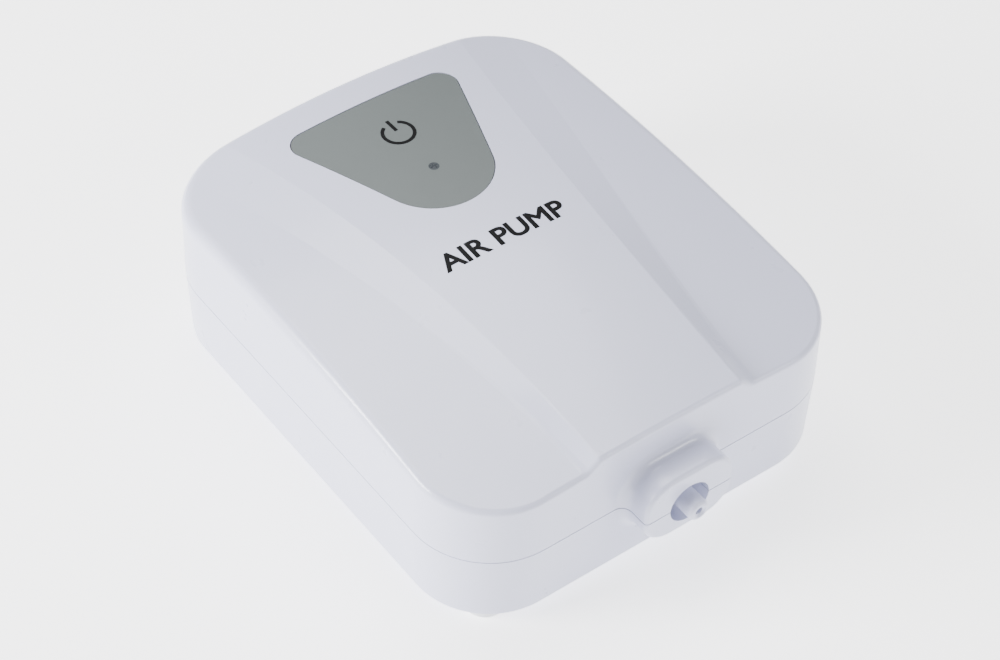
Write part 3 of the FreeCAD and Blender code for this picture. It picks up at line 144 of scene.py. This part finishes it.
# ---- Finishes ---------------------------------------------------------------------------------
def moulded(name, colour, roughness, spread=0.03, grain_per_mm=2.2, grain_mm=0.004, coat=0.0):
    """Moulded plastic: faint flow clouds in colour and gloss, and a fine tool texture."""
    material, tree, shader = new_material(name)
    vector = place(tree)
    clouds = noise(tree, vector, per_mm=0.03, detail=2.0)
    colours = blend_colours(tree, clouds, shade(colour, 1 - spread), shade(colour, 1 + spread))
    tree.links.new(colours, shader.inputs["Base Color"])
    gloss = noise(tree, vector, per_mm=0.12, detail=4.0)
    tree.links.new(between(tree, gloss, roughness * 0.9, roughness * 1.12), shader.inputs["Roughness"])
    add_bump(tree, shader, noise(tree, vector, grain_per_mm, detail=2.0), grain_mm)
    shader.inputs["Coat Weight"].default_value = coat
    shader.inputs["Coat Roughness"].default_value = 0.12
    return material


def rubbery(name, colour, roughness, bloom):
    """Rubber: dusty bloom in patches over a fine grain."""
    material, tree, shader = new_material(name)
    vector = place(tree)
    patches = noise(tree, vector, per_mm=0.35, detail=5.0, roughness=0.65)
    dusty = tuple(min(1.0, c + bloom) for c in colour)
    tree.links.new(blend_colours(tree, patches, colour, dusty), shader.inputs["Base Color"])
    tree.links.new(between(tree, patches, roughness * 0.85, roughness * 1.1), shader.inputs["Roughness"])
    add_bump(tree, shader, noise(tree, vector, per_mm=5.0, detail=2.0), depth_mm=0.012)
    shader.inputs["Specular IOR Level"].default_value = 0.35
    return material


def metal(name, colour, roughness, brushed=(1, 14, 1), depth_mm=0.004, tarnish=0.12):
    """Metal with fine drawn lines across the brushed axis and slight tarnish."""
    material, tree, shader = new_material(name)
    shader.inputs["Metallic"].default_value = 1.0
    lines = noise(tree, place(tree, brushed), per_mm=0.9, detail=4.0, roughness=0.7)
    stains = noise(tree, place(tree), per_mm=0.25, detail=4.0)
    colours = blend_colours(tree, stains, shade(colour, 1 - tarnish), shade(colour, 1 + tarnish / 2))
    tree.links.new(colours, shader.inputs["Base Color"])
    tree.links.new(between(tree, lines, roughness * 0.75, roughness * 1.3), shader.inputs["Roughness"])
    add_bump(tree, shader, lines, depth_mm)
    return material


def board_finish(name):
    """Solder mask over copper pours, with the tracks just visible."""
    material, tree, shader = new_material(name)
    vector = place(tree)
    bricks = tree.nodes.new("ShaderNodeTexBrick")
    bricks.inputs["Scale"].default_value = 0.22
    bricks.inputs["Mortar Size"].default_value = 0.06
    bricks.inputs["Color1"].default_value = (0.012, 0.115, 0.05, 1)
    bricks.inputs["Color2"].default_value = (0.015, 0.14, 0.06, 1)
    bricks.inputs["Mortar"].default_value = (0.01, 0.07, 0.035, 1)
    tree.links.new(vector, bricks.inputs["Vector"])
    tree.links.new(bricks.outputs["Color"], shader.inputs["Base Color"])
    gloss = between(tree, noise(tree, vector, per_mm=0.6), 0.22, 0.36)
    tree.links.new(gloss, shader.inputs["Roughness"])
    add_bump(tree, shader, bricks.outputs["Fac"], depth_mm=0.02)
    return material


def jacket_finish(name):
    """Battery film: dark with one pinstripe, a copper band near one end and bare metal ends."""
    material, tree, shader = new_material(name)
    vector = place(tree)
    split = tree.nodes.new("ShaderNodeSeparateXYZ")
    tree.links.new(vector, split.inputs["Vector"])
    ramp = tree.nodes.new("ShaderNodeValToRGB")
    ramp.color_ramp.interpolation = "CONSTANT"
    bare_metal = (0.55, 0.56, 0.58)
    dark_film = (0.02, 0.05, 0.09)
    pinstripe = (0.5, 0.5, 0.52)
    copper_band = (0.62, 0.36, 0.10)
    stops = ((0.0, bare_metal), (0.06, dark_film), (0.62, pinstripe),
             (0.65, dark_film), (0.70, copper_band), (0.94, bare_metal))
    while len(ramp.color_ramp.elements) < len(stops):
        ramp.color_ramp.elements.new(0.5)
    for element, (position, colour) in zip(ramp.color_ramp.elements, stops):
        element.position = position
        element.color = (*colour, 1)
    along = tree.nodes.new("ShaderNodeMapRange")
    low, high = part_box("battery_cell_left")
    along.inputs["From Min"].default_value = low.y / MM
    along.inputs["From Max"].default_value = high.y / MM
    tree.links.new(split.outputs["Y"], along.inputs["Value"])
    tree.links.new(along.outputs["Result"], ramp.inputs["Fac"])
    tree.links.new(ramp.outputs["Color"], shader.inputs["Base Color"])
    gloss = between(tree, noise(tree, vector, per_mm=0.3), 0.18, 0.32)
    tree.links.new(gloss, shader.inputs["Roughness"])
    add_bump(tree, shader, noise(tree, vector, per_mm=1.5), depth_mm=0.01)
    return material


def felt_finish(name):
    """Felt: matted short fibres."""
    material, tree, shader = new_material(name)
    fibres = noise(tree, place(tree, (1.0, 2.4, 1.0)), per_mm=2.6, detail=6.0, roughness=0.75)
    colours = blend_colours(tree, fibres, (0.46, 0.46, 0.44), (0.78, 0.78, 0.75))
    tree.links.new(colours, shader.inputs["Base Color"])
    shader.inputs["Roughness"].default_value = 0.95
    shader.inputs["Sheen Weight"].default_value = 0.3
    add_bump(tree, shader, fibres, depth_mm=0.12)
    return material


def clear_finish(name, colour, roughness, coat=0.6):
    """Tinted clear plastic with slight moulding streaks."""
    material, tree, shader = new_material(name)
    streaks = noise(tree, place(tree), per_mm=0.8)
    colours = blend_colours(tree, streaks, shade(colour, 0.9), shade(colour, 1.1))
    tree.links.new(colours, shader.inputs["Base Color"])
    tree.links.new(between(tree, streaks, roughness, roughness * 1.8), shader.inputs["Roughness"])
    shader.inputs["Coat Weight"].default_value = coat
    shader.inputs["Coat Roughness"].default_value = 0.05
    return material


WHITE = (0.57, 0.585, 0.735)
FINISHES = {
    "case_white": moulded("case_white", WHITE, 0.30, spread=0.012, grain_per_mm=1.4, grain_mm=0.002,
                          coat=0.35),
    "pad_grey": moulded("pad_grey", (0.095, 0.110, 0.109), 0.50, grain_per_mm=4.0, grain_mm=0.008),
    "lens_dark": clear_finish("lens_dark", (0.02, 0.026, 0.032), roughness=0.22, coat=0.0),
    "stem_black": moulded("stem_black", (0.02, 0.02, 0.02), 0.45),
    "seal_white": rubbery("seal_white", (0.70, 0.71, 0.74), 0.6, bloom=0.03),
    "foot_white": rubbery("foot_white", (0.72, 0.73, 0.76), 0.5, bloom=0.03),
    "nozzle_white": moulded("nozzle_white", WHITE, 0.30, spread=0.015, coat=0.15),
    "silicone": rubbery("silicone", (0.62, 0.65, 0.66), 0.35, bloom=0.04),
    "rubber_black": rubbery("rubber_black", (0.018, 0.018, 0.019), 0.6, bloom=0.02),
    "steel": metal("steel", (0.62, 0.62, 0.63), 0.28),
    "spring_steel": metal("spring_steel", (0.72, 0.71, 0.69), 0.18, brushed=(1, 1, 10),
                          depth_mm=0.002, tarnish=0.06),
    "brass": metal("brass", (0.70, 0.50, 0.22), 0.36, brushed=(3, 3, 3), depth_mm=0.006, tarnish=0.2),
    "copper": metal("copper", (0.72, 0.30, 0.14), 0.26, brushed=(2, 26, 2), depth_mm=0.02, tarnish=0.1),
    "magnet": moulded("magnet", (0.045, 0.045, 0.05), 0.7, spread=0.15, grain_per_mm=3.0, grain_mm=0.02),
    "board_green": board_finish("board_green"),
    "chip_black": moulded("chip_black", (0.016, 0.016, 0.018), 0.55, grain_per_mm=6.0, grain_mm=0.006),
    "connector_ivory": moulded("connector_ivory", (0.66, 0.60, 0.46), 0.42),
    "led_body": clear_finish("led_body", (0.42, 0.62, 0.46), roughness=0.1),
    "tray_black": moulded("tray_black", (0.022, 0.022, 0.025), 0.48, spread=0.1, grain_mm=0.01),
    "cell_jacket": jacket_finish("cell_jacket"),
    "lead_red": moulded("lead_red", (0.45, 0.015, 0.012), 0.4),
    "lead_black": moulded("lead_black", (0.014, 0.014, 0.015), 0.4),
    "pump_plastic": moulded("pump_plastic", (0.66, 0.66, 0.60), 0.38),
    "pump_dark": moulded("pump_dark", (0.05, 0.055, 0.06), 0.42, grain_mm=0.008),
    "felt": felt_finish("felt"),
}


def printing_ink():
    """Pad-printed ink: near black, a little thinner in places."""
    material, tree, shader = new_material("printing_ink")
    cover = noise(tree, place(tree), per_mm=1.2, detail=4.0)
    colours = blend_colours(tree, cover, (0.003, 0.003, 0.003), (0.006, 0.006, 0.007))
    tree.links.new(colours, shader.inputs["Base Color"])
    tree.links.new(between(tree, cover, 0.50, 0.62), shader.inputs["Roughness"])
    shader.inputs["Specular IOR Level"].default_value = 0.1
    return material


def dress_nodes():
    """Gives every CAD node its finish."""
    for row in frame["record"]["subparts"]:
        node = frame["nodes"][row["node"]]
        node.data.materials.clear()
        node.data.materials.append(FINISHES[row["material_slot"]])


# ---- Printed marks ----------------------------------------------------------------------------
def surface_height(node_name, x, y):
    """Height of a node's upper surface at x, y, in metres."""
    node = frame["nodes"][node_name]
    hit, point, _, _ = node.ray_cast(Vector((x, y, ABOVE_THE_PART)), Vector((0, 0, -1)))
    if not hit:
        raise ValueError("no surface of " + node_name + " at this place")
    return point.z


def lay_on(mesh, node_name):
    """Drops a flat mesh on to a node's upper surface."""
    for vertex in mesh.vertices:
        vertex.co.z += surface_height(node_name, vertex.co.x, vertex.co.y)


def strip_mesh(name, inner, outer):
    """Thin raised strip between two rows of points; every point is (x, y) in metres."""
    count = len(inner)
    points = []
    for height in (0.0, PRINT_THICKNESS * MM):
        points += [(x, y, height) for x, y in inner]
        points += [(x, y, height) for x, y in outer]
    faces = []
    top = 2 * count
    last = count - 1
    for i in range(last):
        j = i + 1
        faces.append((i, j, count + j, count + i))
        faces.append((top + i, top + count + i, top + count + j, top + j))
        faces.append((i, top + i, top + j, j))
        faces.append((count + i, count + j, top + count + j, top + count + i))
    faces.append((0, count, top + count, top))
    faces.append((last, top + last, top + count + last, count + last))
    mesh = bpy.data.meshes.new(name)
    mesh.from_pydata(points, [], faces)
    mesh.update()
    return mesh


def add_print(name, mesh, body, node_name, ink):
    """Finishes a printed piece: on its surface, inked, riding on its body."""
    lay_on(mesh, node_name)
    mesh.materials.append(ink)
    piece = bpy.data.objects.new(name, mesh)
    bpy.context.collection.objects.link(piece)
    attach(piece, body)


def power_symbol(ink):
    """Broken ring and bar on the pad."""
    centre_y = (CASE_CENTRE_Y + SWITCH_Y) * MM
    radius = SYMBOL_RADIUS * MM
    half_stroke = SYMBOL_HALF_STROKE * MM
    first_angle = 90 + RING_OPEN_HALF_ANGLE
    swept_angle = 360 - 2 * RING_OPEN_HALF_ANGLE
    inner = []
    outer = []
    for step in range(RING_STEPS + 1):
        angle = math.radians(first_angle + swept_angle * step / RING_STEPS)
        for row, r in ((inner, radius - half_stroke), (outer, radius + half_stroke)):
            row.append((r * math.cos(angle), centre_y + r * math.sin(angle)))
    ring = strip_mesh("power_symbol_ring", inner, outer)
    add_print("power_symbol_ring", ring, "power_key", "power_pad", ink)
    bar_low = centre_y + BAR_LOW * MM
    bar_high = centre_y + BAR_HIGH * MM
    heights = [bar_low + (bar_high - bar_low) * step / BAR_STEPS for step in range(BAR_STEPS + 1)]
    left = [(-half_stroke, y) for y in heights]
    right = [(half_stroke, y) for y in heights]
    bar = strip_mesh("power_symbol_bar", left, right)
    add_print("power_symbol_bar", bar, "power_key", "power_pad", ink)


def generic_words(ink):
    """Plain function wording on the cover, in the built-in letter shapes."""
    curve = bpy.data.curves.new("function_words", "FONT")
    curve.body = "AIR PUMP"
    curve.align_x = "CENTER"
    curve.align_y = "CENTER"
    curve.extrude = LETTER_EXTRUDE
    curve.bevel_depth = LETTER_BOLDNESS
    curve.bevel_resolution = 0
    curve.resolution_u = LETTER_CURVE_STEPS
    carrier = bpy.data.objects.new("function_words_curve", curve)
    bpy.context.collection.objects.link(carrier)
    bpy.context.view_layer.update()
    graph = bpy.context.evaluated_depsgraph_get()
    mesh = bpy.data.meshes.new_from_object(carrier.evaluated_get(graph))
    bpy.data.objects.remove(carrier)
    lows = [min(vertex.co[axis] for vertex in mesh.vertices) for axis in range(3)]
    highs = [max(vertex.co[axis] for vertex in mesh.vertices) for axis in range(3)]
    for vertex in mesh.vertices:
        x, y, z = [(c - low) / (high - low) for c, low, high in zip(vertex.co, lows, highs)]
        vertex.co = ((x - 0.5) * WORDS_WIDTH * MM,
                     (CASE_CENTRE_Y + WORDS_Y + (y - 0.5) * WORDS_HEIGHT) * MM,
                     z * PRINT_THICKNESS * MM)
    mesh.materials.clear()
    add_print("function_words", mesh, "case", "top_cover", ink)


# ---- Camera, light and floor --------------------------------------------------------------------
def set_camera():
    """Camera at the photograph's viewing angle."""
    azimuth = math.radians(CAMERA_AZIMUTH)
    elevation = math.radians(CAMERA_ELEVATION)
    roll = math.radians(CAMERA_ROLL)
    target = Vector((0, CASE_CENTRE_Y * MM, CAMERA_TARGET_Z))
    back = Vector((math.sin(azimuth) * math.cos(elevation),
                   -math.cos(azimuth) * math.cos(elevation),
                   math.sin(elevation)))
    level = Vector((math.cos(azimuth), math.sin(azimuth), 0))
    upward = back.cross(level)
    right = level * math.cos(roll) + upward * math.sin(roll)
    up = upward * math.cos(roll) - level * math.sin(roll)
    data = bpy.data.cameras.new("camera")
    data.sensor_width = 36.0
    data.lens = 94.85
    data.shift_x = 0.0043
    data.shift_y = -0.028
    data.clip_start = 0.01
    camera = bpy.data.objects.new("camera", data)
    bpy.context.collection.objects.link(camera)
    axes = Matrix((right, up, back)).transposed()
    camera.matrix_world = Matrix.Translation(target + back * CAMERA_DISTANCE) @ axes.to_4x4()
    bpy.context.scene.camera = camera


def area_light(name, place_m, size_m, power):
    """Rectangular light aimed at the part."""
    data = bpy.data.lights.new(name, "AREA")
    data.shape = "RECTANGLE"
    data.size, data.size_y = size_m
    data.energy = power
    light = bpy.data.objects.new(name, data)
    bpy.context.collection.objects.link(light)
    light.location = place_m
    light.rotation_euler = (Vector(place_m) - Vector(LIGHT_AIM)).to_track_quat("Z", "Y").to_euler()


def set_light():
    """Three soft lights and a pale surrounding."""
    area_light("left_softbox", (-0.72, 0.26, 0.34), size_m=(0.34, 0.30), power=17.0)
    area_light("top_softbox", (0.10, 0.35, 0.9), size_m=(0.7, 0.5), power=8.5)
    area_light("front_strip", (0.38, -0.62, 0.48), size_m=(0.5, 0.16), power=3.6)
    world = bpy.data.worlds.new("studio")
    bpy.context.scene.world = world
    world.use_nodes = True
    background = world.node_tree.nodes["Background"]
    background.inputs["Color"].default_value = (0.97, 0.98, 1.0, 1)
    background.inputs["Strength"].default_value = 0.5


def add_floor():
    """Plain pale floor with a soft glow, which keeps it nearly white."""
    mesh = bpy.data.meshes.new("floor")
    corners = [(x * FLOOR_REACH, y * FLOOR_REACH, 0) for x, y in ((-1, -1), (1, -1), (1, 1), (-1, 1))]
    mesh.from_pydata(corners, [], [(0, 1, 2, 3)])
    material, tree, shader = new_material("floor_paper")
    grain = noise(tree, place(tree), per_mm=0.02)
    colours = blend_colours(tree, grain, (0.93, 0.93, 0.94), (0.95, 0.95, 0.96))
    tree.links.new(colours, shader.inputs["Base Color"])
    shader.inputs["Roughness"].default_value = 0.9
    shader.inputs["Emission Color"].default_value = (1.0, 1.0, 1.0, 1.0)
    shader.inputs["Emission Strength"].default_value = FLOOR_GLOW
    mesh.materials.append(material)
    floor = bpy.data.objects.new("floor", mesh)
    bpy.context.collection.objects.link(floor)


dress_nodes()
ink = printing_ink()
power_symbol(ink)
generic_words(ink)
set_camera()
set_light()
add_floor()
